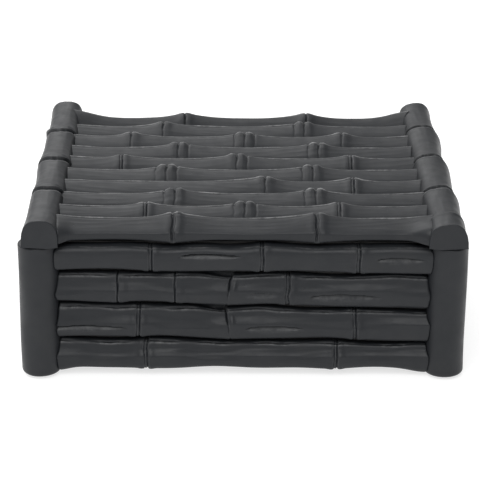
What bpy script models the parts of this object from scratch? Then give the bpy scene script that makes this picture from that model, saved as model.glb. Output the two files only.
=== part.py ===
"""Lidded keepsake box clad in faux-bamboo sticks.

A plain carcass of four walls and a bottom panel stands on four round corner posts. Each wall carries
four half-round sticks between the posts. The loose lid is a panel held by two full-depth side logs,
with ten cross sticks on top and four lip battens below that drop inside the walls.

Metres, +Z up, front towards -Y. The origin is on the table, under the middle of the box.
"""

import math

import bmesh
import bpy
from mathutils import Matrix, Vector

MM = 0.001

# Overall sizes
BOX_WIDTH = 254 * MM  # X, across the corner posts
BOX_DEPTH = 216 * MM  # Y, across the corner posts
BASE_HEIGHT = 80.5 * MM  # table to the tops of the posts and walls
GLUE_GAP = 0.3 * MM  # between two pieces that touch

# Corner posts and their felt pads
POST_DIAMETER = 23 * MM
POST_SIDES = 28
POST_EDGE_ROUND = 2.2 * MM
PAD_DIAMETER = 12 * MM
PAD_THICKNESS = 1 * MM
PAD_SIDES = 24

# Carcass
WALL_SETBACK = 13.5 * MM  # outermost line of the posts to the outer face of a wall
WALL_THICKNESS = 8 * MM
WALL_FOOT = 6 * MM  # table to the lower edge of a wall
CORNER_RABBET = 4 * MM  # how far a side wall is let into the front and back walls
PANEL_FOOT = 9 * MM  # table to the underside of the bottom panel
PANEL_THICKNESS = 5 * MM
PANEL_GROOVE = 4 * MM  # how far the bottom panel is let into the walls
LINER_THICKNESS = 1.2 * MM
LINER_MARGIN = 1 * MM  # felt liner to the walls

# Wall sticks
STICK_THICKNESS = 9.5 * MM
STICK_ROW_GAP = 0.9 * MM
CLADDING_FOOT = 3.6 * MM  # table to the lower edge of the lowest stick
CLADDING_DROP = 0.3 * MM  # top of the wall to the top of the highest stick
ROW_SHARES = (0.223, 0.264, 0.272, 0.241)  # how the four rows share the height, top row first

# Lid
LID_PANEL_THICKNESS = 4.4 * MM
LID_PANEL_MARGIN = 4 * MM  # outer face of a wall to the panel's edge
SIDE_LOG_WIDTH = 22 * MM
SIDE_LOG_HEIGHT = 17.5 * MM
SIDE_LOG_INSET = 1.7 * MM  # outermost line of the posts to the outer side of a side log
LID_ROWS = 10
LID_ROW_GAP = 0.8 * MM
LID_ROW_SETBACK = 6.5 * MM  # ends of the side logs to the faces of the front and back logs
LID_STICK_HEIGHT = 9.6 * MM
FRONT_LOG_HEIGHT = 15 * MM
BACK_LOG_HEIGHT = 13.6 * MM
EDGE_LOG_LIFT = 0.6 * MM  # underside of the panel to the underside of the front and back logs

# Lip under the lid
LIP_DEPTH = 7.5 * MM
LIP_THICKNESS = 6 * MM
LIP_CLEARANCE = 1.2 * MM  # lip to the inner face of a wall
LIP_CHAMFER = 1.5 * MM

# How a bamboo stick swells at its joints and narrows between them
GROOVE_HALF_WIDTH = 1.5 * MM
GROOVE_DEPTH = 1.6 * MM
LOBE_OFFSETS = (5 * MM, 10 * MM)  # a joint's groove to the sections that show the swelling fading
LID_WAIST = 2.4 * MM
EDGE_WAIST = 3.6 * MM
WALL_WAIST = 0.9 * MM
SIDE_LOG_WAIST = 1.8 * MM
WAIST_FLATNESS = 3  # how evenly a waist runs: 2 is a parabola, and more is flatter in the middle
WIDTH_SHARE = 0.35  # share of a waist or groove that also narrows the stick's width
END_ROUND = 0.8 * MM
COPE_LENGTH = 6 * MM  # how far from its end a stick's sections bend to meet the round piece there

# Sections of the sticks: (share of half the width, share of the height) from one lower edge to the other
LID_SECTION = (
    (-1, 0), (-1, 0.3), (-0.74, 0.63), (-0.32, 0.88), (0.1, 0.99),
    (0.35, 1), (0.66, 0.88), (0.88, 0.62), (1, 0.3), (1, 0),
)
FRONT_LOG_SECTION = (
    (-1, 0), (-1, 0.45), (-0.93, 0.58), (-0.5, 0.83), (0, 0.96),
    (0.45, 1), (0.75, 0.86), (0.93, 0.6), (1, 0.35), (1, 0),
)
WALL_SECTION = (
    (-1, 0), (-1, 0.45), (-0.88, 0.76), (-0.52, 0.94), (-0.1, 1),
    (0.25, 0.99), (0.62, 0.86), (0.89, 0.6), (1, 0.3), (1, 0),
)
SIDE_LOG_SECTION = (
    (-1, 0), (-0.96, 0.28), (-0.82, 0.57), (-0.58, 0.81), (-0.3, 0.95), (0, 1),
    (0.3, 0.95), (0.58, 0.81), (0.82, 0.57), (0.96, 0.28), (1, 0),
)

# Bamboo joints along each stick, as shares of its length from its left end
FRONT_JOINTS = (
    (0.25, 0.55, 0.81),
    (0.16, 0.315, 0.46, 0.62),
    (0.215, 0.46, 0.805),
    (0.235, 0.755),
)
BACK_JOINTS = (
    (0.18, 0.5, 0.77),
    (0.27, 0.6, 0.86),
    (0.14, 0.42, 0.7),
    (0.33, 0.66),
)
LEFT_JOINTS = (
    (0.24, 0.64),
    (0.36, 0.75),
    (0.18, 0.48, 0.82),
    (0.4, 0.78),
)
RIGHT_JOINTS = (
    (0.3, 0.72),
    (0.2, 0.52, 0.8),
    (0.38, 0.7),
    (0.26, 0.62),
)
LID_JOINTS = (
    (0.31, 0.70),
    (0.23, 0.505, 0.765),
    (0.31, 0.705),
    (0.565, 0.815),
    (0.28, 0.705),
    (0.145, 0.485, 0.82),
    (0.31, 0.73),
    (0.165, 0.51, 0.805),
    (0.26, 0.695),
    (0.325, 0.705),
)
# These two run from the front end
LEFT_LOG_JOINTS = (0.28, 0.52, 0.765)
RIGHT_LOG_JOINTS = (0.09, 0.3, 0.555, 0.81)

# Worked out from the sizes above
POST_RADIUS = POST_DIAMETER / 2
POST_FOOT = PAD_THICKNESS + GLUE_GAP
HALF_WIDTH = BOX_WIDTH / 2
HALF_DEPTH = BOX_DEPTH / 2
CARCASS_X = HALF_WIDTH - WALL_SETBACK
CARCASS_Y = HALF_DEPTH - WALL_SETBACK
INNER_X = CARCASS_X - WALL_THICKNESS
INNER_Y = CARCASS_Y - WALL_THICKNESS
LID_FOOT = BASE_HEIGHT + GLUE_GAP
LID_PANEL_TOP = LID_FOOT + LID_PANEL_THICKNESS
SIDE_LOG_X = HALF_WIDTH - SIDE_LOG_INSET - SIDE_LOG_WIDTH / 2
ROWS_HALF_DEPTH = HALF_DEPTH - LID_ROW_SETBACK
LID_ROW_WIDTH = (2 * ROWS_HALF_DEPTH - (LID_ROWS - 1) * LID_ROW_GAP) / LID_ROWS

CORNERS = {  # name: signs of X and Y
    "front_left": (-1, -1),
    "front_right": (1, -1),
    "back_left": (-1, 1),
    "back_right": (1, 1),
}


def clear_scene():
    for obj in list(bpy.data.objects):
        bpy.data.objects.remove(obj)


def make_material(name, colour, roughness):
    material = bpy.data.materials.new(name)
    material.use_nodes = True
    shader = material.node_tree.nodes["Principled BSDF"]
    shader.inputs["Base Color"].default_value = (*colour, 1)
    shader.inputs["Roughness"].default_value = roughness
    shader.inputs["Metallic"].default_value = 0
    return material


def add_empty(name, z):
    empty = bpy.data.objects.new(name, None)
    empty.location = (0, 0, z)
    bpy.context.scene.collection.objects.link(empty)
    return empty


def add_object(name, bm, material, parent, place):
    """Turns bm into an object that stands at place, a matrix in the world, and belongs to parent."""
    bmesh.ops.recalc_face_normals(bm, faces=bm.faces)
    mesh = bpy.data.meshes.new(name)
    bm.to_mesh(mesh)
    bm.free()
    mesh.shade_smooth()
    mesh.set_sharp_from_angle(angle=math.radians(38))
    mesh.materials.append(material)
    obj = bpy.data.objects.new(name, mesh)
    bpy.context.scene.collection.objects.link(obj)
    obj.parent = parent
    obj.matrix_local = Matrix.Translation(-parent.location) @ place
    return obj


def add_box(name, low, high, material, parent):
    """A box between two corners."""
    low, high = Vector(low), Vector(high)
    bm = bmesh.new()
    bmesh.ops.create_cube(bm, size=1)
    bmesh.ops.scale(bm, vec=high - low, verts=bm.verts)
    return add_object(name, bm, material, parent, Matrix.Translation((low + high) / 2))


def add_cutter(name, low, high, material, parent):
    """A hidden box that cuts room, with the glue gap all round, for the piece between low and high."""
    gap = Vector((GLUE_GAP, GLUE_GAP, GLUE_GAP))
    cutter = add_box(name, Vector(low) - gap, Vector(high) + gap, material, parent)
    cutter.hide_render = True
    cutter.display_type = "WIRE"
    return cutter


def cut(obj, cutter):
    boolean = obj.modifiers.new(cutter.name, "BOOLEAN")
    boolean.operation = "DIFFERENCE"
    boolean.solver = "EXACT"
    boolean.object = cutter


def loft(rings):
    """A closed body through rings of points. The end caps are strips from one side to the other."""
    bm = bmesh.new()
    loops = [[bm.verts.new(point) for point in ring] for ring in rings]
    count = len(rings[0])
    for before, after in zip(loops, loops[1:]):
        for i in range(count):
            j = (i + 1) % count
            bm.faces.new((before[i], before[j], after[j], after[i]))
    for loop in (loops[0], loops[-1]):
        for i in range(count // 2 - 1):
            bm.faces.new((loop[i], loop[i + 1], loop[-2 - i], loop[-1 - i]))
        if count % 2:
            middle = count // 2
            bm.faces.new(loop[middle - 1 : middle + 2])
    return bm


def turned_mesh(levels, sides):
    """An upright round body through (height, radius) levels."""
    turns = [2 * math.pi * i / sides for i in range(sides)]
    return loft([[(r * math.cos(a), r * math.sin(a), z) for a in turns] for z, r in levels])


def stick_stations(length, joints):
    """Where along a stick its section is drawn: ends, grooves, lobes and waists."""
    edges = [0, *joints, length]
    places = {END_ROUND, COPE_LENGTH, length - COPE_LENGTH, length - END_ROUND}
    for joint in joints:
        for offset in (0, GROOVE_HALF_WIDTH, *LOBE_OFFSETS):
            places |= {joint - offset, joint + offset}
    places |= {(a + b) / 2 for a, b in zip(edges, edges[1:])}
    stations = [0]
    for x in sorted(places):
        if x - stations[-1] >= END_ROUND / 2 and length - x >= END_ROUND / 2:
            stations.append(x)
    return [*stations, length]


def sunk_at(x, length, joints, waist):
    """How far a stick's surface lies below its fullest line at x."""
    edges = [0, *joints, length]
    depth = 0
    for a, b in zip(edges, edges[1:]):
        if a <= x <= b:
            depth = waist * (1 - abs(2 * (x - a) / (b - a) - 1) ** WAIST_FLATNESS)
    for joint in joints:
        depth += GROOVE_DEPTH * max(0, 1 - abs(x - joint) / GROOVE_HALF_WIDTH)
    return depth + max(0, END_ROUND - min(x, length - x))


def cope_reach(rise, cope):
    """How much further a coped end reaches at a height over the stick's back than at its shortest.

    cope is None for a square end. Otherwise it holds the round piece's axis, as a height over the
    stick's back, and the half width and half height that the end goes round.
    """
    if cope is None:
        return 0
    axis, half_width, half_height = cope
    return half_width * (1 - math.sqrt(1 - ((rise - axis) / half_height) ** 2))


def stick_mesh(length, width, height, joint_shares, waist, section, cope=None):
    """A half-round stick: X along it from its middle, Y across it, its flat back on Z = 0."""
    joints = [share * length for share in joint_shares]
    rings = []
    for x in stick_stations(length, joints):
        sunk = sunk_at(x, length, joints, waist)
        half = width / 2 - WIDTH_SHARE * sunk
        bend = math.copysign(max(0, 1 - min(x, length - x) / COPE_LENGTH), x - length / 2)
        ring = []
        for across, share in section:
            rise = (height - sunk) * share
            ring.append((x - length / 2 + bend * cope_reach(rise, cope), half * across, rise))
        rings.append(ring)
    return loft(rings)


def build_carcass(base, wood):
    """Four rabbeted walls round a grooved-in bottom panel."""
    panel_x = INNER_X + PANEL_GROOVE - GLUE_GAP
    panel_y = INNER_Y + PANEL_GROOVE - GLUE_GAP
    panel_low = (-panel_x, -panel_y, PANEL_FOOT)
    panel_high = (panel_x, panel_y, PANEL_FOOT + PANEL_THICKNESS)
    add_box("bottom_panel", panel_low, panel_high, wood, base)
    groove = add_cutter("groove_for_bottom_panel", panel_low, panel_high, wood, base)

    end_y = INNER_Y + CORNER_RABBET
    rabbets = []
    for side, sign in (("left", -1), ("right", 1)):
        near, far = sorted((sign * INNER_X, sign * CARCASS_X))
        low = (near, -end_y, WALL_FOOT)
        high = (far, end_y, BASE_HEIGHT)
        cut(add_box(f"wall_{side}", low, high, wood, base), groove)
        rabbets.append(add_cutter(f"rabbet_for_wall_{side}", low, high, wood, base))

    for side, sign in (("front", -1), ("back", 1)):
        near, far = sorted((sign * INNER_Y, sign * CARCASS_Y))
        low = (-CARCASS_X, near, WALL_FOOT)
        high = (CARCASS_X, far, BASE_HEIGHT)
        wall = add_box(f"wall_{side}", low, high, wood, base)
        for cutter in (groove, *rabbets):
            cut(wall, cutter)


def build_liner(base, felt):
    """A sheet of felt on the bottom panel."""
    foot = PANEL_FOOT + PANEL_THICKNESS + GLUE_GAP
    x = INNER_X - LINER_MARGIN
    y = INNER_Y - LINER_MARGIN
    add_box("floor_liner", (-x, -y, foot), (x, y, foot + LINER_THICKNESS), felt, base)


def build_posts(base, charcoal, felt):
    """Round posts, notched above their feet over the carcass corners, each on a felt pad."""
    carcass_low = (-CARCASS_X, -CARCASS_Y, WALL_FOOT)
    carcass_high = (CARCASS_X, CARCASS_Y, BASE_HEIGHT)
    notch = add_cutter("notch_for_carcass", carcass_low, carcass_high, charcoal, base)
    height = BASE_HEIGHT - POST_FOOT
    post_levels = (
        (0, POST_RADIUS - POST_EDGE_ROUND),
        (0.3 * POST_EDGE_ROUND, POST_RADIUS - 0.3 * POST_EDGE_ROUND),
        (POST_EDGE_ROUND, POST_RADIUS),
        (height - POST_EDGE_ROUND, POST_RADIUS),
        (height - 0.3 * POST_EDGE_ROUND, POST_RADIUS - 0.3 * POST_EDGE_ROUND),
        (height, POST_RADIUS - POST_EDGE_ROUND),
    )
    pad_levels = ((0, PAD_DIAMETER / 2), (PAD_THICKNESS, PAD_DIAMETER / 2))
    for corner, (sx, sy) in CORNERS.items():
        x = sx * (HALF_WIDTH - POST_RADIUS)
        y = sy * (HALF_DEPTH - POST_RADIUS)
        post = turned_mesh(post_levels, POST_SIDES)
        place = Matrix.Translation((x, y, POST_FOOT))
        cut(add_object(f"corner_post_{corner}", post, charcoal, base, place), notch)
        pad = turned_mesh(pad_levels, PAD_SIDES)
        add_object(f"foot_pad_{corner}", pad, felt, base, Matrix.Translation((x, y, 0)))


def build_wall_sticks(base, charcoal):
    """Four rows of half-round sticks on each wall, coped at their ends over the posts."""
    faces = {  # wall: turn about Z, half its length, its outer face from the middle, joints
        "front": (0, HALF_WIDTH, CARCASS_Y, FRONT_JOINTS),
        "right": (90, HALF_DEPTH, CARCASS_X, RIGHT_JOINTS),
        "back": (180, HALF_WIDTH, CARCASS_Y, BACK_JOINTS),
        "left": (270, HALF_DEPTH, CARCASS_X, LEFT_JOINTS),
    }
    upright = Matrix.Rotation(math.radians(90), 4, "X")
    cladding_top = BASE_HEIGHT - CLADDING_DROP
    stacked_height = cladding_top - CLADDING_FOOT - (len(ROW_SHARES) - 1) * STICK_ROW_GAP
    reach = POST_RADIUS + GLUE_GAP
    cope = (WALL_SETBACK - POST_RADIUS - GLUE_GAP, reach, reach)
    for face, (turn, half_length, distance, joints) in faces.items():
        length = 2 * (half_length - POST_RADIUS - reach)
        facing = Matrix.Rotation(math.radians(turn), 4, "Z")
        top = cladding_top
        for row, share in enumerate(ROW_SHARES):
            height = share * stacked_height
            bm = stick_mesh(length, height, STICK_THICKNESS, joints[row], WALL_WAIST, WALL_SECTION, cope)
            middle = Matrix.Translation((0, -distance - GLUE_GAP, top - height / 2))
            place = facing @ middle @ upright
            add_object(f"{face}_stick_{row + 1}", bm, charcoal, base, place)
            top -= height + STICK_ROW_GAP


def build_lid_panel(lid, wood):
    """The lid's board. Returns the cutter that makes the rabbets for it in the logs round it."""
    x = CARCASS_X - LID_PANEL_MARGIN
    y = CARCASS_Y - LID_PANEL_MARGIN
    low = (-x, -y, LID_FOOT)
    high = (x, y, LID_PANEL_TOP)
    add_box("lid_panel", low, high, wood, lid)
    return add_cutter("rabbet_for_lid_panel", low, high, wood, lid)


def build_side_logs(lid, charcoal, rabbet):
    """Full-depth logs along the lid's left and right edges, which rest on the posts."""
    lengthwise = Matrix.Rotation(math.radians(90), 4, "Z")
    for side, sign, joints in (("left", -1, LEFT_LOG_JOINTS), ("right", 1, RIGHT_LOG_JOINTS)):
        bm = stick_mesh(
            BOX_DEPTH, SIDE_LOG_WIDTH, SIDE_LOG_HEIGHT, joints, SIDE_LOG_WAIST, SIDE_LOG_SECTION
        )
        place = Matrix.Translation((sign * SIDE_LOG_X, 0, LID_FOOT)) @ lengthwise
        cut(add_object(f"lid_{side}_log", bm, charcoal, lid, place), rabbet)


def build_lid_sticks(lid, charcoal, rabbet):
    """Cross sticks, coped over the side logs. The first and the last lap over the panel's edges."""
    half_width = SIDE_LOG_WIDTH / 2 + GLUE_GAP
    half_height = SIDE_LOG_HEIGHT + GLUE_GAP
    length = 2 * (SIDE_LOG_X - half_width)
    edge_logs = {
        0: ("lid_front_log", FRONT_LOG_SECTION, FRONT_LOG_HEIGHT),
        LID_ROWS - 1: ("lid_back_log", LID_SECTION, BACK_LOG_HEIGHT),
    }
    edge_cope = (-EDGE_LOG_LIFT, half_width, half_height)
    row_foot = LID_PANEL_TOP + GLUE_GAP
    row_cope = (LID_FOOT - row_foot, half_width, half_height)
    for row, joints in enumerate(LID_JOINTS):
        y = -ROWS_HALF_DEPTH + LID_ROW_WIDTH / 2 + row * (LID_ROW_WIDTH + LID_ROW_GAP)
        if row in edge_logs:
            name, section, height = edge_logs[row]
            bm = stick_mesh(length, LID_ROW_WIDTH, height, joints, EDGE_WAIST, section, edge_cope)
            place = Matrix.Translation((0, y, LID_FOOT + EDGE_LOG_LIFT))
            cut(add_object(name, bm, charcoal, lid, place), rabbet)
        else:
            bm = stick_mesh(
                length, LID_ROW_WIDTH, LID_STICK_HEIGHT, joints, LID_WAIST, LID_SECTION, row_cope
            )
            place = Matrix.Translation((0, y, row_foot))
            add_object(f"lid_stick_{row}", bm, charcoal, lid, place)


def build_lip(lid, wood):
    """Four battens under the lid panel that drop inside the walls and keep the lid in place."""
    outer_x = INNER_X - LIP_CLEARANCE
    outer_y = INNER_Y - LIP_CLEARANCE
    inner_y = outer_y - LIP_THICKNESS
    top = LID_FOOT - GLUE_GAP
    foot = top - LIP_DEPTH
    battens = []
    for side, sign in (("front", -1), ("back", 1)):
        near, far = sorted((sign * inner_y, sign * outer_y))
        low = (-outer_x, near, foot)
        high = (outer_x, far, top)
        battens.append(add_box(f"lid_lip_{side}", low, high, wood, lid))
    for side, sign in (("left", -1), ("right", 1)):
        near, far = sorted((sign * (outer_x - LIP_THICKNESS), sign * outer_x))
        low = (near, GLUE_GAP - inner_y, foot)
        high = (far, inner_y - GLUE_GAP, top)
        battens.append(add_box(f"lid_lip_{side}", low, high, wood, lid))
    for batten in battens:
        bevel = batten.modifiers.new("eased_edges", "BEVEL")
        bevel.width = LIP_CHAMFER
        bevel.segments = 1
        bevel.limit_method = "ANGLE"


def main():
    clear_scene()
    charcoal = make_material("charcoal_finish", (0.045, 0.046, 0.048), 0.5)
    wood = make_material("carcass_black", (0.03, 0.03, 0.031), 0.7)
    felt = make_material("felt_black", (0.02, 0.02, 0.021), 0.95)
    base = add_empty("base", 0)
    lid = add_empty("lid", LID_FOOT)
    build_carcass(base, wood)
    build_liner(base, felt)
    build_posts(base, charcoal, felt)
    build_wall_sticks(base, charcoal)
    rabbet = build_lid_panel(lid, wood)
    build_side_logs(lid, charcoal, rabbet)
    build_lid_sticks(lid, charcoal, rabbet)
    build_lip(lid, wood)


main()
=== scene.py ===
"""Looks of the faux-bamboo box: carved sticks, logs and posts, eased boards, felt, camera and studio.

Every carved piece is built round the box of the CAD node that it replaces. Millimetres are used
throughout and turned into metres when a mesh is made.
"""

import math

import bmesh
import bpy
import numpy as np
from mathutils import Matrix, Vector


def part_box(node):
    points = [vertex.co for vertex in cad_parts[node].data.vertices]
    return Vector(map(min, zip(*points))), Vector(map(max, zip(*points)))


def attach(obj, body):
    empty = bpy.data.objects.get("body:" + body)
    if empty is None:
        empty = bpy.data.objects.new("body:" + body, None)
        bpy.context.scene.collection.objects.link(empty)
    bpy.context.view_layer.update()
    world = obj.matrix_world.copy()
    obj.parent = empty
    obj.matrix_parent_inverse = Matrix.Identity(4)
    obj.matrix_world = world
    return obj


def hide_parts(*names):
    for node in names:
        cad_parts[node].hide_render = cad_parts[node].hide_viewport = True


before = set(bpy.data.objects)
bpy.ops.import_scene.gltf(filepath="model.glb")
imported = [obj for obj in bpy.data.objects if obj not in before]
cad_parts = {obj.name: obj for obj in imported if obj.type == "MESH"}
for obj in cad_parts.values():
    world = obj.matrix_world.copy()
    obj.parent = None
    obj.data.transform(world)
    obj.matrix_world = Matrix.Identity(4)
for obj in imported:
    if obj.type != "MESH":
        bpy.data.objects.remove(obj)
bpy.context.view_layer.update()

M_PER_MM = 0.001

# Camera, solved from the box's corners in the photo: lengths in mm, angles in degrees
CAMERA_PLACE = (-12.8, -1113.6, 490.9)
CAMERA_PITCH = 21.9  # below the horizon
CAMERA_YAW = -0.61
CAMERA_ROLL = 0.4
CAMERA_LENS = 146.6
CAMERA_FAR_M = 20

GLUE_GAP = 0.3  # between glued pieces, as in the CAD
BITE = 0.25  # how far a coped end goes into the round piece it meets
HAIR = 0.05  # keeps faces that nearly touch from folding into each other

# Sections of the sticks, as (share of half the width, share of the height): from the front edge to the
# back edge for those of the lid, from the lower to the upper edge for those of the walls, and from the
# outer side to the inner for the side logs
LID_SECTION = (
    (-1, 0), (-1, 0.2), (-0.93, 0.38), (-0.6, 0.62), (-0.1, 0.86), (0.2, 0.965), (0.33, 1), (0.38, 1),
    (0.48, 0.97), (0.66, 0.82), (0.86, 0.55), (1, 0.28), (1, 0),
)
FRONT_SECTION = (
    (-0.9, 0), (-0.95, 0.04), (-0.97, 0.14), (-0.98, 0.3), (-1, 0.38), (-0.97, 0.46), (-0.85, 0.53),
    (-0.4, 0.71), (0.1, 0.89), (0.4, 0.985), (0.48, 1), (0.56, 0.99), (0.68, 0.93), (0.88, 0.7), (1, 0.4),
    (1, 0),
)
WALL_SECTION = (
    (-0.97, 0), (-1, 0.2), (-1, 0.45), (-0.93, 0.74), (-0.8, 0.87), (-0.6, 0.93), (-0.15, 0.985), (0, 1),
    (0.1, 0.975), (0.44, 0.72), (0.54, 0.67), (0.76, 0.61), (0.88, 0.5), (0.96, 0.36), (1, 0.22), (1, 0),
)
WALL_SECTION_LOW = (
    (-0.97, 0), (-1, 0.2), (-0.98, 0.55), (-0.88, 0.8), (-0.76, 0.88), (-0.5, 0.96), (-0.3, 1),
    (-0.2, 0.98), (0.15, 0.79), (0.34, 0.72), (0.7, 0.64), (0.86, 0.53), (0.95, 0.4), (1, 0.22), (1, 0),
)
WALL_SECTION_FLAT = (
    (-0.97, 0), (-1, 0.2), (-1, 0.5), (-0.93, 0.77), (-0.8, 0.9), (-0.5, 0.97), (0, 1), (0.45, 0.985),
    (0.7, 0.92), (0.86, 0.78), (0.96, 0.55), (1, 0.3), (1, 0),
)
LEFT_LOG_SECTION = (
    (-1, 0), (-0.985, 0.3), (-0.92, 0.62), (-0.74, 0.85), (-0.45, 0.97), (-0.1, 1.0),
    (0.3, 0.995), (0.65, 0.92), (0.87, 0.76), (0.97, 0.5), (1, 0.25), (1, 0),
)
RIGHT_LOG_SECTION = (
    (-1, 0), (-0.985, 0.28), (-0.91, 0.55), (-0.75, 0.8), (-0.5, 0.95), (-0.2, 1),
    (0.15, 0.985), (0.5, 0.93), (0.8, 0.8), (0.95, 0.55), (1, 0.25), (1, 0),
)
SECTION_POINTS = 56

# Stations along a stick in mm: close together at its joints and ends, further apart elsewhere
FINE_STEP = 0.35
COARSE_STEP = 1.1
FINE_REACH = 8
LEAST_STEP = 0.1
END_STEPS = (0, 0.06, 0.2, 0.42, 0.75, 1.1, 1.5, 1.9, 2.3)

# How much lower the sticks are between their joints, in mm
WALL_WAIST = 0.9
LID_WAIST = 2.5
EDGE_LOG_WAIST = 3.4
SIDE_LOG_WAIST = 1.4

# Carving, in mm unless said otherwise. The wavelengths of the ripples are in mm too
STROKE_DEPTH = 0.012
FULL_WAIST_STRETCH = 45  # between joints nearer than this the waist is shallower
WAIST_POWER = 2.6
SIDE_WAIST = 0.35  # share of the waist that comes off each side
NOSE_REACH = 8
END_DROP_REACHES = (7, 11)  # at the start and at the end of the stick, as are the next ones
END_LIP_REACHES = (5.5, 8)
FRONT_SHARE = 0.42  # share of the section, from its front, that the swollen ends reach over
COPE_REACH = 6
COPE_HEIGHT = 12
COPE_LEVELS = 25
LOG_COPE_POINTS = 80
SHARP_ANGLE = 50  # degrees


class Ripple:
    """Smooth seeded noise, about -1 to 1, over one or two coordinates."""

    def __init__(self, rng, *wavelengths, waves=6):
        spread = rng.uniform(0.6, 1.7, (waves, len(wavelengths)))
        sign = rng.choice((-1, 1), (waves, len(wavelengths)))
        self.numbers = 2 * np.pi * sign / (spread * np.array(wavelengths))
        self.phases = rng.uniform(0, 2 * np.pi, waves)

    def __call__(self, *coordinates):
        total = sum(
            np.cos(sum(k * c for k, c in zip(numbers, coordinates)) + phase)
            for numbers, phase in zip(self.numbers, self.phases)
        )
        return total / math.sqrt(2 * len(self.phases))


def bump_at(distance, reach):
    """A smooth bump: 1 at no distance, and nearly 0 at twice the reach."""
    return np.exp(-((distance / reach) ** 2))


def eased(x):
    """From 0 to 1 as x does, level at both ends."""
    x = np.clip(x, 0, 1)
    return x * x * (3 - 2 * x)


def rounded_outline(corners, count):
    """The corners cut three times over, then sampled at count points an equal way apart."""
    points = np.array(corners, float)
    for _ in range(3):
        near = 0.75 * points[:-1] + 0.25 * points[1:]
        far = 0.25 * points[:-1] + 0.75 * points[1:]
        middle = np.stack([near, far], axis=1).reshape(-1, 2)
        points = np.vstack([points[:1], middle[1:-1], points[-1:]])
    along = np.concatenate([[0], np.cumsum(np.linalg.norm(np.diff(points, axis=0), axis=1))])
    wanted = np.linspace(0, along[-1], count)
    return np.stack([np.interp(wanted, along, points[:, i]) for i in (0, 1)], axis=1)


def outline_normals(points):
    """The outward direction at each point of a section's outline."""
    tangent = np.gradient(points, axis=0)
    normal = np.stack([-tangent[:, 1], tangent[:, 0]], axis=1)
    return normal / np.linalg.norm(normal, axis=1, keepdims=True)


def stations(length, joints):
    """The places along a stick at which its rings are made."""
    places = list(END_STEPS)
    while places[-1] < length - END_STEPS[-1] - FINE_STEP:
        x = places[-1]
        nearest = min(abs(x - j) for j in joints)
        places.append(x + (FINE_STEP if nearest < FINE_REACH else COARSE_STEP))
    places = [x for x in places if x < length - END_STEPS[-1] - LEAST_STEP]
    return np.array(places + [length - x for x in reversed(END_STEPS)])


def joint_relief(t, s, kind):
    """How far the surface stands out at a distance t along the stick from a bamboo joint.

    s is the share of the way round the section. Each kind is a sum of swells and grooves in mm:
    ring      two fine grooves round the stick, with a low swell on both sides
    split     a wide groove with a finer one after it
    swell     a thickening without a groove
    groove    one thin groove
    cut       a slanted cut over the upper part, with a facet before it and a chip after it
    step      a stick that ends in a shoulder and a groove, out of which the next one comes
    shoulder  the same with a thicker shoulder on the outer side
    notch     a groove over the crest between two low swells
    left, right, both  the same with higher swells and a second groove on that side
    """
    if kind == "ring":
        grooves = 1.15 * bump_at(t - 0.75, 0.42) + 0.7 * bump_at(t + 0.8, 0.36)
        return -0.3 * bump_at(t, 0.6) - 0.8 * grooves + 0.35 * bump_at(abs(t) - 3, 1.8)
    if kind == "split":
        groove = 1.3 * bump_at(t + 0.5, 0.75) + 0.5 * bump_at(t - 0.9, 0.4)
        return 0.55 * bump_at(t - 3.4, 2) + 0.25 * bump_at(t + 3.2, 1.8) - groove
    if kind == "swell":
        return 0.4 * bump_at(t, 1.6) - 0.25 * bump_at(t - 3.5, 2.5)
    if kind == "groove":
        return 0.4 * bump_at(t - 3, 2.4) + 0.2 * bump_at(t + 2.6, 1.8) - 1.1 * bump_at(t, 0.4)
    if kind == "cut":
        facet = np.clip((t + 10) / 10 + (s - 0.66) / 0.36, 0, 1.3) * (t < 0)
        chips = 0.6 * bump_at(t - 2.6 - 3 * (s - 0.6), 1.3) * bump_at(s - 0.62, 0.16)
        return chips - (0.25 + 0.95 * eased((s - 0.5) / 0.14)) * bump_at(t, 0.5) - 1.5 * facet
    if kind in ("step", "shoulder"):
        behind = 0.2 * np.exp(-np.clip(t - 4, 0, None) / 8) * (t > 0)
        outer = bump_at(s, 0.3)
        swell = 0.2 + (1.5 * outer if kind == "shoulder" else 0.2 * outer)
        shoulder = swell * eased(-t / (2 + 4 * outer)) * (1 + t / 32) * np.exp(-((t / 40) ** 4))
        groove = (2.2 - 1.5 * outer) * eased((t + 0.2) / 0.9) * eased((4.3 - t) / 0.6)
        return behind + shoulder + 0.2 * bump_at(t + 1.3, 0.9) - groove
    crest = 0.35 + 0.65 * bump_at(s - 0.62, 0.2)
    relief = (-1.4 * bump_at(t, 0.6) + 0.5 * bump_at(t, 9)) * crest
    if kind == "notch":
        return relief + 0.5 * bump_at(abs(t) - 3, 2.2) * crest
    relief += 0.9 * bump_at(abs(t) - 3.4, 2.0) * crest
    if kind in ("left", "both"):
        relief -= 0.75 * bump_at(t + 6.3, 0.6) * crest
    if kind in ("right", "both"):
        relief -= 0.75 * bump_at(t - 6.3, 0.6) * crest
    return relief


def waist_depth(x, length, joints, waist, flare):
    """The stick narrows between joints: little in a short stretch, more and evenly in a long one.

    flare is the share of its full size that the stick regains at its two ends.
    """
    edges = [0.0, *joints, length]
    depth = np.zeros_like(x)
    for a, b in zip(edges, edges[1:]):
        t = (x - a) / (b - a)
        share = min(1, (b - a) / FULL_WAIST_STRETCH)
        at_end = ((a == 0) & (t < 0.5)) | ((b == length) & (t > 0.5))
        rise = np.where(at_end, flare, 1) * abs(2 * t - 1) ** WAIST_POWER
        depth = np.where((t >= 0) & (t <= 1), waist * share * (1 - rise), depth)
    return depth


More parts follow.
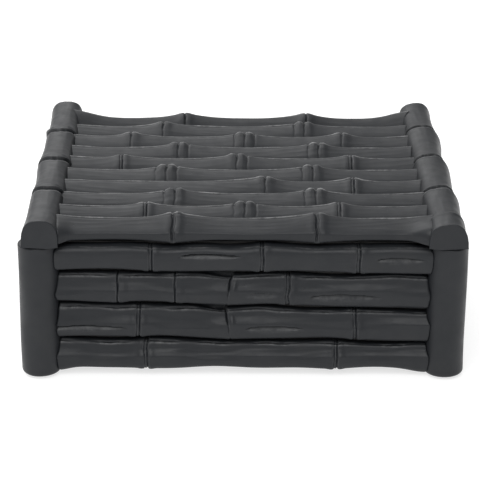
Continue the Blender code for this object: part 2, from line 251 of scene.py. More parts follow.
def mesh_object(name, points, rub_and_highlight, faces):
    """A mesh from points in millimetres, with how much its finish is lightened at each point: painted
    highlight, partly rubbing.
    """
    mesh = bpy.data.meshes.new(name)
    mesh.from_pydata((points * M_PER_MM).tolist(), [], faces)
    # Each point's lightening is stored for the lacquer: painted highlight on crests, rims and ridges,
    # partly a rubbing of the finish
    mesh.attributes.new("rub_and_highlight", "FLOAT", "POINT").data.foreach_set("value", rub_and_highlight.astype(np.float32))
    bm = bmesh.new()
    bm.from_mesh(mesh)
    bmesh.ops.recalc_face_normals(bm, faces=bm.faces)
    bm.to_mesh(mesh)
    bm.free()
    mesh.shade_smooth()
    mesh.set_sharp_from_angle(angle=math.radians(SHARP_ANGLE))
    obj = bpy.data.objects.new(name, mesh)
    bpy.context.scene.collection.objects.link(obj)
    return obj


def with_end_rings(rings):
    """Adds smaller rings inside each end, so that an end's rim is shaded apart from its middle."""
    before, after = [], []
    for share in (0.9, 0.6):
        for end, extra in ((rings[0], before), (rings[-1], after)):
            extra.append(end.mean(axis=0) + (end - end.mean(axis=0)) * share)
    return np.array([*reversed(before), *rings, *after])


def skin(count, size):
    """Faces that join count rings of size points each, with strips across each end."""
    faces = [
        (i * size + j, i * size + (j + 1) % size, (i + 1) * size + (j + 1) % size, (i + 1) * size + j)
        for i in range(count - 1)
        for j in range(size)
    ]
    for first in (0, (count - 1) * size):
        last = first + size - 1
        faces += [(first + j, first + j + 1, last - j - 1, last - j) for j in range(size // 2 - 1)]
        if size % 2:
            middle = first + size // 2
            faces.append((middle - 1, middle, middle + 1))
    return faces


def add_grain_map(obj, along_axis):
    """A UV map in metres with U along the grain, for textures that follow it."""
    mesh = obj.data
    uv = mesh.uv_layers.new(name="grain")
    points = np.empty(len(mesh.vertices) * 3, np.float32)
    mesh.vertices.foreach_get("co", points)
    points = points.reshape(-1, 3)
    others = [axis for axis in range(3) if axis != along_axis]
    flat = np.stack([points[:, along_axis], points[:, others[0]] + points[:, others[1]]], axis=1)
    index = np.empty(len(mesh.loops), np.int32)
    mesh.loops.foreach_get("vertex_index", index)
    uv.data.foreach_set("uv", flat[index].ravel())


def carve(size, section, joints, waist, look, rng):
    """Rings of a carved stick: along X from 0, across Y from -width / 2 to width / 2, flat back at Z = 0.

    joints is a tuple of (share of the length, kind, slant in mm). waist is how much lower the stick is
    between joints. look holds the features, in mm unless said otherwise; those that only some sticks
    have may be left out:
    second_section  the section that the first one drifts to and back
    flare           share of its full size that the stick regains at its ends
    foot_wave, foot_room    how far the back stands off: as a share of the waist, and all along
    crest_room, side_room   what the stick is lower and narrower than its box
    nose_fall       fall of the crest at the start
    edge_wave       waviness of the two edges
    tilts           how far the low and the high edge climb from end to end
    end_drops       how far the low edge drops at each end
    whittle         depth of the scooped texture
    joint_bow       how far the joints lean towards the start at mid-section
    scars           gouges: (start, end, share of the way round, depth)
    bead            depth of a groove near the high edge; a light line just below it is painted highlight, partly rubbing
    crest_line      a ridge at this share of the way round from the crest, lightened as painted highlight, partly rubbing
    end_lips        how far the front part swells at each end
    ends            radii of the two rounded ends
    copes           how much further each end reaches at each height, as (heights, reaches)
    rub_and_highlight  how much the ridges are lightened: painted highlight, partly rubbing
    """
    length, width, height = size
    spots = [share * length for share, _, _ in joints]
    x = stations(length, spots)[:, None]
    outline = rounded_outline(section, SECTION_POINTS)
    normals = outline_normals(outline * (width / 2, height))
    drift = np.clip(0.5 + 0.8 * Ripple(rng, 70)(x), 0, 1)
    second = rounded_outline(look.get("second_section", section), SECTION_POINTS)
    side, up = ((1 - drift) * outline[:, i][None, :] + drift * second[:, i][None, :] for i in (0, 1))
    s = np.linspace(0, 1, SECTION_POINTS)[None, :]
    around = s * (width + 1.2 * height)

    sunk = waist_depth(x, length, spots, waist, look.get("flare", 1))
    foot = look.get("foot_wave", 0) * sunk + look.get("foot_room", 0)
    tall = height - look["crest_room"] - sunk - look.get("nose_fall", 0) * bump_at(x, NOSE_REACH)
    wave = look["edge_wave"]
    low_edge = wave * Ripple(rng, 65)(x)
    high_edge = wave * Ripple(rng, 60)(x)
    half = width / 2 - SIDE_WAIST * sunk - look.get("side_room", 0.5)
    low_tilt, high_tilt = look.get("tilts", (0, 0))
    low_edge = low_edge + low_tilt * (x / length - 0.5)
    high_edge = high_edge + high_tilt * (x / length - 0.5)
    drops = look.get("end_drops", (0, 0))
    low_edge = low_edge - drops[0] * bump_at(x, END_DROP_REACHES[0])
    low_edge = low_edge - drops[1] * bump_at(length - x, END_DROP_REACHES[1])
    across = side * half + np.where(side < 0, low_edge, high_edge) * abs(side) ** 1.5
    rise = foot + up * (tall - foot)

    scoops = 0.35 - abs(Ripple(rng, 60, 10, waves=7)(x, around))
    relief = look["whittle"] * scoops
    relief = relief + STROKE_DEPTH * Ripple(rng, 50, 1.8, waves=14)(x, around)
    # Lighter colour on crests, rims, lips and ridges: painted highlight, partly rubbing of the finish
    rub_and_highlight = np.zeros_like(relief)
    for spot, (_, kind, slant) in zip(spots, joints):
        wander = 0.25 * Ripple(rng, 12)(around)
        lean = look.get("joint_bow", 0) * np.sin(np.pi * s)
        t = x - spot - slant * (s - 0.5) - wander + lean
        relief = relief + joint_relief(t, s, kind)
        if kind in ("step", "shoulder"):
            # the rim before the groove is lightened: painted highlight, partly rubbing
            rub_and_highlight = rub_and_highlight + 0.42 * bump_at(t + 0.8, 0.7)
    for start, end, centre, depth in look.get("scars", ()):
        cut_depth, lip = scar(x, s, start, end, centre, depth)
        relief = relief - cut_depth
        # the scar's lower lip is lightened: painted highlight, partly rubbing
        rub_and_highlight = rub_and_highlight + lip
    if "bead" in look:
        strength = np.clip(0.6 + 0.7 * Ripple(rng, 28)(x), 0, 1)
        seat = s - 0.84 - 0.012 * Ripple(rng, 22)(x)
        relief = relief - look["bead"] * strength * bump_at(seat, 0.016)
        # a light line just below the groove: painted highlight, partly rubbing
        rub_and_highlight = rub_and_highlight + 0.35 * strength * bump_at(seat + 0.035, 0.02)
    if "crest_line" in look:
        strength = np.clip(0.5 + 0.6 * Ripple(rng, 40)(x), 0.15, 1)
        crest = s - look["crest_line"] - np.argmax(outline[:, 1]) / (SECTION_POINTS - 1)
        crest = crest - 0.006 * Ripple(rng, 50)(x)
        relief = relief + 0.3 * strength * (bump_at(crest, 0.018) - bump_at(crest + 0.045, 0.02))
        near_joint = sum(bump_at(abs(x - spot) - 3.5, 3) for spot in spots)
        # the crest is lightened, more near joints: painted highlight, partly rubbing
        rub_and_highlight = rub_and_highlight + (strength + 0.3 * near_joint) * bump_at(crest, 0.02)

    from_foot = np.clip(up * height / 1.2, 0, 1)
    lips = look.get("end_lips", (0, 0))
    swell = lips[0] * bump_at(x, END_LIP_REACHES[0]) + lips[1] * bump_at(length - x, END_LIP_REACHES[1])
    relief = relief + swell * bump_at(s, FRONT_SHARE)
    ends = look["ends"]
    relief = relief - round_over(x, ends[0]) - round_over(length - x, ends[1])
    relief = relief * from_foot

    points_y = across + relief * normals[:, 0][None, :]
    points_z = np.maximum(rise + relief * normals[:, 1][None, :], foot)
    points_x = np.broadcast_to(x, points_y.shape)
    if "copes" in look:
        left, right = (np.interp(points_z, heights, reach) for heights, reach in look["copes"])
        points_x = points_x - left * np.clip(1 - x / COPE_REACH, 0, 1)
        points_x = points_x + right * np.clip(1 - (length - x) / COPE_REACH, 0, 1)
    # ridges across the stick are lightened: painted highlight, partly rubbing
    rub_and_highlight = rub_and_highlight + ridge_rub_and_highlight(relief, x, look["rub_and_highlight"])
    return np.stack([points_x, points_y, points_z, rub_and_highlight], axis=2)


def ridge_rub_and_highlight(relief, x, strength):
    """How much the finish is lightened where the relief has a ridge across the stick: painted highlight,
    partly rubbing.
    """
    slope = np.gradient(relief, x[:, 0], axis=0)
    bend = -np.gradient(slope, x[:, 0], axis=0)
    away = (x > 3) & (x < x[-1] - 3)
    return strength * np.clip((bend - 0.35) / 1.2, 0, 1) * away


def post_cope(axis, radius):
    """How much further an end reaches at each height over the stick's back to go round a post."""
    heights = np.linspace(0, COPE_HEIGHT, COPE_LEVELS)
    return heights, radius * (1 - np.sqrt(np.clip(1 - ((heights - axis) / radius) ** 2, 0, 1)))


def log_cope(section, half_width, height, foot):
    """The same for an end that meets the inner side of a side log, whose underside is at foot."""
    outline = rounded_outline(section, LOG_COPE_POINTS)
    inner = outline[np.argmax(outline[:, 1]) :][::-1]
    return inner[:, 1] * height + foot, half_width * (1 - inner[:, 0])


def round_over(distance, radius):
    """How far a rounded end falls away at a distance from it."""
    inside = np.clip(distance / radius, 0, 1)
    return radius * (1 - np.sqrt(1 - (1 - inside) ** 2))


def scar(x, s, start, end, centre, depth):
    """An almond-shaped gouge: a steep upper edge, and a facet that comes back out to a lower lip.

    Gives its depth and how much its lower lip is lightened, as painted highlight and rubbing.
    """
    t = np.clip((x - start) / (end - start), 0, 1)
    bow = np.sin(np.pi * t ** 0.8)
    crease = centre + 0.05 * bow
    below = (crease - s) / (0.035 + 0.085 * bow)
    facet = eased((below + 0.06) / 0.08) * np.clip(1 - below, 0, 1)
    present = np.clip(bow * 2.2, 0, 1)
    # the lower lip, which faces up, is lightened: painted highlight, partly rubbing
    return 1.55 * depth * facet * present, 0.16 * present * bump_at(below - 0.6, 0.4)


def with_rabbet(rings, ceiling, reach, near=-math.inf, far=math.inf):
    """Adds a step under the +Y side of each ring between the stations near and far along X."""
    out = []
    for ring in rings:
        x = ring[0][0]
        level = ceiling if near < x < far else HAIR
        ring = ring.copy()
        ring[:, 2] = np.where(ring[:, 1] > reach, np.maximum(ring[:, 2], level), ring[:, 2])
        inner = [[x, reach, level, 0.0], [x, reach, 0.0, 0.0]]
        out.append(np.vstack([ring, inner]))
    return np.array(out)


def carved_piece(name, rings, matrix, body, along_axis):
    """A piece through rings of (x, y, z, lightening) points, turned and moved by matrix; the lightening is
    painted highlight, partly rubbing.
    """
    flat = with_end_rings(rings).reshape(-1, 4)
    points = flat[:, :3] @ np.array(matrix.to_3x3()).T + np.array(matrix.translation)
    obj = mesh_object(f"carved_{name}", points, flat[:, 3], skin(len(rings) + 4, len(rings[0])))
    add_grain_map(obj, along_axis)
    obj.data.materials.append(LACQUER)
    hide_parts(name)
    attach(obj, body)


def box_mm(name):
    """The low and high corner of a CAD node's box in mm."""
    low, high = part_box(name)
    return low / M_PER_MM, high / M_PER_MM


def node(tree, kind, **settings):
    """A shader node whose inputs or properties are set by name."""
    made = tree.nodes.new(kind)
    for key, value in settings.items():
        if key in made.inputs:
            made.inputs[key].default_value = value
        else:
            setattr(made, key, value)
    return made


def new_material(name):
    """A material with its node tree, the call that links its nodes, and its shader."""
    material = bpy.data.materials.new(name)
    material.use_nodes = True
    tree = material.node_tree
    return material, tree, tree.links.new, tree.nodes["Principled BSDF"]


def ramp(tree, factor, stops):
    """A colour ramp between (position, colour or grey) stops."""
    made = tree.nodes.new("ShaderNodeValToRGB")
    elements = made.color_ramp.elements
    while len(elements) < len(stops):
        elements.new(0.5)
    for element, (position, colour) in zip(elements, stops):
        element.position = position
        grey = not hasattr(colour, "__len__")
        element.color = (colour, colour, colour, 1) if grey else (*colour, 1)
    tree.links.new(factor, made.inputs["Fac"])
    return made.outputs["Color"]


def lacquer_material():
    """Satin charcoal lacquer over carved wood: faint mottling, brush strokes, pits, and crests and ridges
    lightened as painted highlight, partly rubbing.
    """
    material, tree, link, shader = new_material("charcoal_lacquer")
    shader.inputs["IOR"].default_value = 1.38
    place_at = node(tree, "ShaderNodeTexCoord").outputs["Object"]
    grain_map = node(tree, "ShaderNodeUVMap", uv_map="grain").outputs["UV"]

    mottle = node(tree, "ShaderNodeTexNoise", Scale=70.0, Detail=5.0, Roughness=0.6)
    link(place_at, mottle.inputs["Vector"])
    colour = ramp(
        tree,
        mottle.outputs["Fac"],
        ((0.3, (0.0115, 0.013, 0.0155)), (0.55, (0.014, 0.0155, 0.018)), (0.8, (0.017, 0.018, 0.0195))),
    )
    # Crests, rims and ridges are lightened towards pale grey by the stored attribute, made patchy by noise:
    # painted highlight, partly rubbing
    rub_and_highlight = node(tree, "ShaderNodeAttribute", attribute_name="rub_and_highlight").outputs["Fac"]
    patches = node(tree, "ShaderNodeTexNoise", Scale=240.0, Detail=3.0, Roughness=0.7)
    link(place_at, patches.inputs["Vector"])
    broken_highlight_and_rub = node(tree, "ShaderNodeMath", operation="MULTIPLY")
    link(rub_and_highlight, broken_highlight_and_rub.inputs[0])
    link(ramp(tree, patches.outputs["Fac"], ((0.38, 0.25), (0.6, 1.0))), broken_highlight_and_rub.inputs[1])
    # pale grey of the painted highlight, partly rubbing
    highlight_and_rub_mix = node(tree, "ShaderNodeMix", data_type="RGBA")
    highlight_and_rub_mix.inputs["B"].default_value = (0.24, 0.241, 0.243, 1)
    link(broken_highlight_and_rub.outputs["Value"], highlight_and_rub_mix.inputs["Factor"])
    link(colour, highlight_and_rub_mix.inputs["A"])
    link(highlight_and_rub_mix.outputs["Result"], shader.inputs["Base Color"])

    sheen_patches = node(tree, "ShaderNodeTexNoise", Scale=160.0, Detail=3.0)
    link(place_at, sheen_patches.inputs["Vector"])
    link(ramp(tree, sheen_patches.outputs["Fac"], ((0.3, 0.40), (0.7, 0.52))), shader.inputs["Roughness"])

    stretched = node(tree, "ShaderNodeMapping")
    stretched.inputs["Scale"].default_value = (60, 900, 1)
    link(grain_map, stretched.inputs["Vector"])
    strokes = node(tree, "ShaderNodeTexNoise", Scale=1.0, Detail=4.0, Roughness=0.6)
    link(stretched.outputs["Vector"], strokes.inputs["Vector"])
    pits = node(tree, "ShaderNodeTexVoronoi", Scale=260.0, Randomness=1.0)
    link(place_at, pits.inputs["Vector"])
    pit_depth = ramp(tree, pits.outputs["Distance"], ((0.05, 0.0), (0.16, 1.0)))
    stroke_bump = node(tree, "ShaderNodeBump", Strength=0.2, Distance=0.00008)
    link(strokes.outputs["Fac"], stroke_bump.inputs["Height"])
    pit_bump = node(tree, "ShaderNodeBump", Strength=0.35, Distance=0.0002)
    link(pit_depth, pit_bump.inputs["Height"])
    link(stroke_bump.outputs["Normal"], pit_bump.inputs["Normal"])
    link(pit_bump.outputs["Normal"], shader.inputs["Normal"])
    return material


def stain_material():
    """Flat black stain on plain boards, with the wood's grain just showing."""
    material, tree, link, shader = new_material("black_stain")
    place_at = node(tree, "ShaderNodeTexCoord").outputs["Object"]
    stretched = node(tree, "ShaderNodeMapping")
    stretched.inputs["Scale"].default_value = (25, 25, 420)
    link(place_at, stretched.inputs["Vector"])
    grain = node(tree, "ShaderNodeTexNoise", Scale=1.0, Detail=6.0, Roughness=0.65)
    link(stretched.outputs["Vector"], grain.inputs["Vector"])
    link(
        ramp(tree, grain.outputs["Fac"], ((0.3, (0.018, 0.018, 0.018)), (0.7, (0.032, 0.031, 0.030)))),
        shader.inputs["Base Color"],
    )
    link(ramp(tree, grain.outputs["Fac"], ((0.3, 0.72), (0.7, 0.6))), shader.inputs["Roughness"])
    bump = node(tree, "ShaderNodeBump", Strength=0.3, Distance=0.0002)
    link(grain.outputs["Fac"], bump.inputs["Height"])
    link(bump.outputs["Normal"], shader.inputs["Normal"])
    return material


def felt_material():
    """Short black wool felt."""
    material, tree, link, shader = new_material("black_felt")
    shader.inputs["Roughness"].default_value = 0.95
    shader.inputs["Sheen Weight"].default_value = 0.35
    shader.inputs["Sheen Roughness"].default_value = 0.5
    place_at = node(tree, "ShaderNodeTexCoord").outputs["Object"]
    fibres = node(tree, "ShaderNodeTexNoise", Scale=1500.0, Detail=5.0, Roughness=0.75, Distortion=1.5)
    link(place_at, fibres.inputs["Vector"])
    link(
        ramp(tree, fibres.outputs["Fac"], ((0.35, (0.012, 0.012, 0.013)), (0.68, (0.034, 0.034, 0.036)))),
        shader.inputs["Base Color"],
    )
    bump = node(tree, "ShaderNodeBump", Strength=0.6, Distance=0.0004)
    link(fibres.outputs["Fac"], bump.inputs["Height"])
    link(bump.outputs["Normal"], shader.inputs["Normal"])
    return material


LACQUER = lacquer_material()
STAIN = stain_material()
FELT = felt_material()

# Bamboo joints: (share of the length, kind, slant in mm). The share is counted from the left end as seen
# from outside for the wall sticks and the cross sticks, and from the front for the side logs.
# The lid's rows run from the front log to the back log, and the walls' from the top to the bottom
LID_JOINTS = (
    ((0.31, "split", 0.6), (0.70, "split", -0.4)),
    ((0.23, "ring", 0), (0.505, "both", 0), (0.765, "ring", 0)),
    ((0.31, "left", 0.5), (0.705, "left", 0)),
    ((0.565, "notch", 0), (0.815, "ring", 0.4)),
    ((0.28, "both", 0), (0.705, "left", -0.5)),
    ((0.145, "ring", 0), (0.485, "right", 0), (0.82, "ring", 0)),
    ((0.31, "right", 0), (0.73, "left", 0)),
    ((0.165, "notch", 0), (0.51, "both", 0), (0.805, "notch", 0)),
    ((0.26, "notch", 0.4), (0.695, "left", 0)),
    ((0.325, "notch", 0), (0.705, "notch", 0)),
)
WALL_JOINTS = {
    "front": (
        ((0.25, "ring", 0), (0.55, "ring", 0), (0.81, "ring", 0)),
        ((0.16, "groove", 0), (0.315, "groove", 0), (0.46, "cut", 5), (0.62, "ring", 1)),
        ((0.215, "ring", 1), (0.46, "cut", -4), (0.805, "ring", -1)),
        ((0.235, "ring", 0), (0.755, "ring", 0)),
    ),
    "back": (
        ((0.18, "ring", 0), (0.5, "ring", 0), (0.77, "ring", 0)),
        ((0.27, "groove", 0), (0.6, "cut", 4), (0.86, "ring", 0)),
        ((0.14, "ring", 0), (0.42, "ring", 0), (0.7, "groove", 0)),
        ((0.33, "ring", 0), (0.66, "ring", 0)),
    ),
    "left": (
        ((0.24, "ring", 0), (0.64, "ring", 0)),
        ((0.36, "groove", 0), (0.75, "cut", -4)),
        ((0.18, "ring", 0), (0.48, "ring", 0), (0.82, "groove", 0)),
        ((0.4, "ring", 0), (0.78, "ring", 0)),
    ),
    "right": (
        ((0.3, "ring", 0), (0.72, "ring", 0)),
        ((0.2, "ring", 0), (0.52, "groove", 0), (0.8, "ring", 0)),
        ((0.38, "cut", 4), (0.7, "ring", 0)),
        ((0.26, "ring", 0), (0.62, "ring", 0)),
    ),
}
# Gouges on the wall sticks: (start and end in mm from the stick's left end, share up its face, depth in mm)
WALL_SCARS = {
    "front": (
        ((68, 104, 0.6, 1.3), (178, 207, 0.52, 1.0)),
        ((141, 184, 0.42, 1.2), (106, 124, 0.45, 0.5)),
        ((-6, 40, 0.46, 1.4), (105, 140, 0.45, 1.3)),
        (),
    ),
    "back": (((20, 60, 0.5, 1.2),), ((120, 160, 0.55, 1),), ((95, 140, 0.45, 1.3),), ((10, 50, 0.5, 1),)),
    "left": (((60, 95, 0.5, 1.1),), ((5, 40, 0.5, 1),), ((90, 125, 0.5, 1.3),), ((80, 120, 0.5, 0.9),)),
    "right": (((10, 45, 0.5, 1.1),), ((105, 135, 0.5, 1),), ((5, 50, 0.45, 1.3),), ((115, 160, 0.5, 0.9),)),
}
# For each row of the walls: the radii of its rounded ends, and how far its low and high edge climb
WALL_ENDS = ((1.0, 0.6), (1.4, 1.8), (1.4, 0.9), (1.2, 0.6))
WALL_TILTS = ((-2.0, 0), (-5.2, -2.0), (-2.8, -5.2), (0, -2.8))
WALL_TURNS = {"front": 0, "right": 90, "back": 180, "left": 270}
LEFT_LOG_JOINTS = ((0.28, "step", 0), (0.52, "step", 0), (0.765, "step", 0))
RIGHT_LOG_JOINTS = (
    (0.075, "swell", 0), (0.265, "shoulder", 0), (0.52, "shoulder", 0), (0.775, "shoulder", 0),
)
SIDE_LOG_LOSS = 1  # how much lower the carved side logs are than their boxes
LEFT_LOG_SHIFT = 0.8  # how far the left log stands in from the middle of its box
END_OVERLAP = 0.9  # how far the cross sticks reach into the side logs at each end


def wall_sticks():
    """Four rows of sticks on each wall, coped to the posts."""
    upright = Matrix.Rotation(math.radians(90), 4, "X")
    post_low, post_high = box_mm("corner_post_front_right")
    post_radius = (post_high[0] - post_low[0]) / 2
    post_x, post_y = post_high[0] - post_radius, -post_low[1] - post_radius
    for face, rows in WALL_JOINTS.items():
        turn = Matrix.Rotation(math.radians(WALL_TURNS[face]), 4, "Z")
        lengthwise = face in ("front", "back")
        along = 0 if lengthwise else 1
        for row, joints in enumerate(rows):
            name = f"{face}_stick_{row + 1}"
            low, high = box_mm(name)
            thickness = high[1 - along] - low[1 - along]
            outer = max(abs(low[1 - along]), abs(high[1 - along]))
            meet = post_radius - BITE
            length = 2 * ((post_x if lengthwise else post_y) - meet)
            cope = post_cope((post_y if lengthwise else post_x) - (outer - thickness), meet)
            rng = np.random.default_rng(100 + 10 * WALL_TURNS[face] + row)
            look = {
                "scars": WALL_SCARS[face][row],
                "bead": 0.9 if row else 0.3,
                "crest_room": 0.5,
                "side_room": 0.35,
                "edge_wave": 0.7,
                "ends": WALL_ENDS[row],
                "copes": (cope, cope),
                "second_section": WALL_SECTION_LOW,
                "tilts": WALL_TILTS[row],
                "rub_and_highlight": 0.12,
                "whittle": 0.14,
            }
            section = WALL_SECTION
            if row == 0:
                section = WALL_SECTION_FLAT
                look |= {"second_section": section, "whittle": 0.08}
            if row == len(rows) - 1:
                look["end_drops"] = (2.0, 2.4)
            size = (length, high[2] - low[2], thickness)
            rings = carve(size, section, joints, WALL_WAIST, look, rng)
            middle = Matrix.Translation((-length / 2, -(outer - thickness), (low[2] + high[2]) / 2))
            carved_piece(name, rings, turn @ middle @ upright, "base", along)


def lid_sticks():
    """The front log, the cross sticks and the back log, coped to the side logs."""
    names = ["lid_front_log", *(f"lid_stick_{row}" for row in range(1, 9)), "lid_back_log"]
    panel_high = box_mm("lid_panel")[1]
    log_low, log_high = box_mm("lid_right_log")
    log_x = (log_low[0] + log_high[0]) / 2
    half_width = (log_high[0] - log_low[0]) / 2 - BITE
    log_height = log_high[2] - log_low[2] - SIDE_LOG_LOSS
    joint_span = 2 * (log_x - half_width - BITE)
    for row, (name, joints) in enumerate(zip(names, LID_JOINTS)):
        low, high = box_mm(name)
        rng = np.random.default_rng(40 + row)
        copes = [
            log_cope(log_section, half_width, log_height, log_low[2] - low[2])
            for log_section in (LEFT_LOG_SECTION, RIGHT_LOG_SECTION)
        ]
        look = {
            "ends": (0.6, 0.5),
            "edge_wave": 0.4,
            "crest_line": 0.012,
            "crest_room": 0.9,
            "rub_and_highlight": 0.12,
            "whittle": 0.08,
            "flare": 0.45,
            "copes": copes,
        }
        section, waist = LID_SECTION, LID_WAIST
        if name == "lid_front_log":
            section, waist = FRONT_SECTION, EDGE_LOG_WAIST
            look |= {"foot_wave": 0.45, "ends": (1.6, 0.2), "end_lips": (5, 5.5)}
        elif name == "lid_back_log":
            section, waist = [(-side, up) for side, up in reversed(LID_SECTION)], EDGE_LOG_WAIST
            look |= {"crest_line": 0, "ends": (0.3, 0.3), "flare": 1.6}
        length = joint_span + 2 * END_OVERLAP
        joints = [
            ((share * joint_span + END_OVERLAP) / length, kind, slant) for share, kind, slant in joints
        ]
        size = (length, high[1] - low[1], high[2] - low[2])
        rings = carve(size, section, joints, waist, look, rng)
        if name.endswith("log"):
            reach = abs(low[1] + high[1]) / 2 - (panel_high[1] + GLUE_GAP)
            rings = with_rabbet(rings, panel_high[2] + GLUE_GAP - low[2], reach)
            if name == "lid_back_log":
                rings[:, :, 1] *= -1
        middle = Matrix.Translation((-length / 2, (low[1] + high[1]) / 2, low[2]))
        carved_piece(name, rings, middle, "lid", 0)


def side_logs():
    """The lid's two full-depth logs, rabbeted over the lid panel."""
    panel_low, panel_high = box_mm("lid_panel")
    logs = (  # name, section, joints, bow of the joints, seed, room at its sides, fall of its front end
        ("lid_left_log", LEFT_LOG_SECTION, LEFT_LOG_JOINTS, 8.5, 7, 0.7, 0),
        ("lid_right_log", RIGHT_LOG_SECTION, RIGHT_LOG_JOINTS, 1, 8, 0.1, 1.2),
    )
    for name, section, joints, bow, seed, side_room, fall in logs:
        low, high = box_mm(name)
        size = (high[1] - low[1], high[0] - low[0], high[2] - low[2])
        rng = np.random.default_rng(seed)
        look = {
            "crest_room": 0.6,
            "ends": (0.6, 0.8),
            "nose_fall": fall,
            "edge_wave": 0.4,
            "side_room": side_room,
            "foot_wave": 0.2,
            "foot_room": 0.8,
            "whittle": 0.12,
            "rub_and_highlight": 0.12,
            "joint_bow": bow,
        }
        rings = carve(size, section, joints, SIDE_LOG_WAIST, look, rng)
        centre = (low[0] + high[0]) / 2
        reach = abs(centre) - (panel_high[0] + GLUE_GAP)
        ceiling = panel_high[2] + GLUE_GAP - low[2]
        near, far = panel_low[1] - GLUE_GAP - low[1], panel_high[1] + GLUE_GAP - low[1]
        rings = with_rabbet(rings, ceiling, reach, near, far)
        if name == "lid_left_log":
            rings[:, :, 1] *= -1
            centre += LEFT_LOG_SHIFT
        lengthwise = Matrix.Rotation(math.radians(90), 4, "Z")
        middle = Matrix.Translation((centre, low[1], low[2]))
        carved_piece(name, rings, middle @ lengthwise, "lid", 1)


def corner_posts():
    """Round posts, notched above their feet over the carcass corners, with softly rounded ends."""
    arc_points, notch_points = 72, 16
    foot_round, top_round = 2.4, 1.0
    post_room, lump_height = 0.3, 0.22
    carcass_x = abs(box_mm("wall_left")[0][0]) + GLUE_GAP
    carcass_y = abs(box_mm("wall_front")[0][1]) + GLUE_GAP
    ledge = box_mm("wall_front")[0][2] - GLUE_GAP
    for sx in (-1, 1):
        for sy in (-1, 1):
            name = f"corner_post_{'front' if sy < 0 else 'back'}_{'left' if sx < 0 else 'right'}"
            low, high = box_mm(name)
            radius = (high[0] - low[0]) / 2
            centre = (low + high) / 2
            notch_x = carcass_x - abs(centre[0])
            notch_y = carcass_y - abs(centre[1])
            lumps = Ripple(np.random.default_rng(60 + 2 * sx + sy), 45, 2.1)
            foot_steps = [*(foot_round * eased(np.linspace(0, 1, 10)) + low[2]), ledge - 0.6]
            heights = [*foot_steps, ledge, ledge + 0.01, ledge + 0.6]
            heights += [*np.linspace(ledge + 2, high[2] - 3, 40)]
            heights += [high[2] - top_round * (1 - eased(t)) for t in np.linspace(0, 1, 8)]
            rings = []
            for level, z in enumerate(heights):
                notched = level > len(foot_steps)
                r = radius - post_room
                r = r - round_over(z - low[2], foot_round) - round_over(high[2] - z, top_round)
                start = math.pi - math.asin(notch_y / r)
                end = -math.pi / 2 + math.asin(notch_x / r)
                turns = np.linspace(start, end, arc_points)
                swell = r + lump_height * lumps(z, turns)
                ring = [(a, b) for a, b in zip(swell * np.cos(turns), swell * np.sin(turns))]
                share = np.linspace(0, 1, notch_points + 2)[1:-1]
                if notched:
                    first, last = np.array(ring[-1]), np.array(ring[0])
                    corner = np.array((notch_x, notch_y))
                    ring += [tuple(first + (corner - first) * 2 * t) for t in share if t <= 0.5]
                    ring += [tuple(corner + (last - corner) * (2 * t - 1)) for t in share if t > 0.5]
                else:
                    rest = np.linspace(end, start - 2 * math.pi, notch_points + 2)[1:-1]
                    inner = r + lump_height * lumps(z, rest)
                    ring += [(a, b) for a, b in zip(inner * np.cos(rest), inner * np.sin(rest))]
                rings.append([(centre[0] + sx * a, centre[1] + sy * b, z, 0.0) for a, b in ring])
            carved_piece(name, np.array(rings), Matrix.Identity(4), "base", 2)


def eased_boards():
    """The plain boards, each with its edges eased."""
    boards = {
        "base": ("bottom_panel", "wall_front", "wall_back", "wall_left", "wall_right"),
        "lid": ("lid_panel", "lid_lip_front", "lid_lip_back", "lid_lip_left", "lid_lip_right"),
    }
    for body, names in boards.items():
        for name in names:
            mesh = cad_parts[name].data.copy()
            mesh.name = f"eased_{name}"
            bm = bmesh.new()
            bm.from_mesh(mesh)
            bmesh.ops.remove_doubles(bm, verts=bm.verts, dist=1e-6)
            bmesh.ops.dissolve_limit(bm, angle_limit=0.02, verts=bm.verts, edges=bm.edges)
            bm.to_mesh(mesh)
            bm.free()
            mesh.materials.clear()
            mesh.materials.append(STAIN)
            board = bpy.data.objects.new(f"eased_{name}", mesh)
            bpy.context.scene.collection.objects.link(board)
            bevel = board.modifiers.new("eased", "BEVEL")
            bevel.width = 0.4 * M_PER_MM
            bevel.segments = 2
            bevel.limit_method = "ANGLE"
            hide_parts(name)
            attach(board, body)


def felts():
    """The pads under the posts, and the liner with a soft wave."""
    for corner in ("front_left", "front_right", "back_left", "back_right"):
        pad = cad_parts[f"foot_pad_{corner}"]
        pad.data.materials.clear()
        pad.data.materials.append(FELT)
    low, high = box_mm("floor_liner")
    columns, rows = 84, 68
    felt_room, felt_wave, felt_thickness = 0.15, 0.12, 0.9
    across, along = np.meshgrid(np.linspace(low[0], high[0], columns), np.linspace(low[1], high[1], rows))
    ripple = Ripple(np.random.default_rng(90), 70, 60)
    top = high[2] - felt_room + felt_wave * ripple(across, along)
    faces = []
    for i in range(rows - 1):
        for j in range(columns - 1):
            first = i * columns + j
            faces.append((first, first + 1, first + columns + 1, first + columns))
    points = np.stack([across, along, top], axis=2).reshape(-1, 3)
    liner = mesh_object("liner", points, np.zeros(len(points)), faces)
    liner.data.materials.append(FELT)
    thickness = liner.modifiers.new("thickness", "SOLIDIFY")
    thickness.thickness = felt_thickness * M_PER_MM
    thickness.offset = -1
    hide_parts("floor_liner")
    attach(liner, "base")


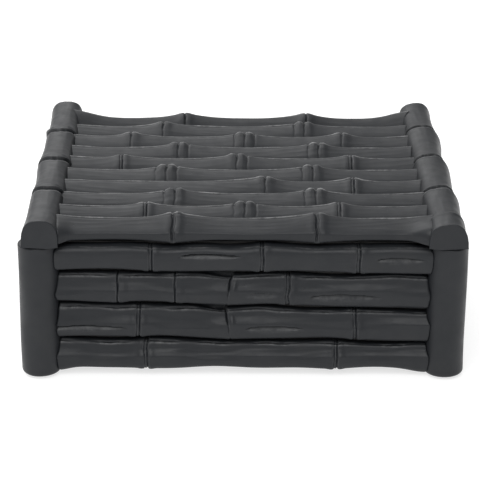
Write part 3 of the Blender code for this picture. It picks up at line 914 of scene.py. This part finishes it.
def studio():
    """A white floor and world, and three square lights that look at the box."""
    floor_mesh = bpy.data.meshes.new("floor")
    reach = 6
    corners = [(-reach, -reach, 0), (reach, -reach, 0), (reach, reach, 0), (-reach, reach, 0)]
    floor_mesh.from_pydata(corners, [], [(0, 1, 2, 3)])
    floor = bpy.data.objects.new("floor", floor_mesh)
    bpy.context.scene.collection.objects.link(floor)
    paper, _, _, shader = new_material("paper")
    shader.inputs["Base Color"].default_value = (0.45, 0.45, 0.45, 1)
    shader.inputs["Roughness"].default_value = 0.9
    shader.inputs["Emission Color"].default_value = (1, 1, 1, 1)
    shader.inputs["Emission Strength"].default_value = 0.7
    floor_mesh.materials.append(paper)

    world = bpy.data.worlds.new("studio")
    world.use_nodes = True
    background = world.node_tree.nodes["Background"]
    background.inputs["Color"].default_value = (1, 1, 1, 1)
    background.inputs["Strength"].default_value = 0.48
    bpy.context.scene.world = world
    bpy.context.scene.view_settings.view_transform = "Standard"

    lights = (  # name, place in m, size in m, power in W
        ("overhead", (-0.7, 1.1, 1.6), 2.2, 31),
        ("front", (-0.35, -1.85, 2.45), 2.0, 50),
        ("left", (-1.8, 0.2, 0.8), 1.2, 4),
    )
    for name, spot, size, power in lights:
        data = bpy.data.lights.new(name, "AREA")
        data.shape = "SQUARE"
        data.size = size
        data.energy = power
        lamp = bpy.data.objects.new(name, data)
        lamp.location = spot
        lamp.rotation_euler = Vector(spot).to_track_quat("Z", "Y").to_euler()
        bpy.context.scene.collection.objects.link(lamp)


def camera():
    """The camera of the photo."""
    data = bpy.data.cameras.new("camera")
    data.lens = CAMERA_LENS
    data.clip_end = CAMERA_FAR_M
    eye = bpy.data.objects.new("camera", data)
    eye.matrix_world = (
        Matrix.Translation(Vector(CAMERA_PLACE) * M_PER_MM)
        @ Matrix.Rotation(math.radians(CAMERA_YAW), 4, "Z")
        @ Matrix.Rotation(math.radians(90 - CAMERA_PITCH), 4, "X")
        @ Matrix.Rotation(math.radians(CAMERA_ROLL), 4, "Z")
    )
    bpy.context.scene.collection.objects.link(eye)
    bpy.context.scene.camera = eye


wall_sticks()
lid_sticks()
side_logs()
corner_posts()
eased_boards()
felts()
studio()
camera()
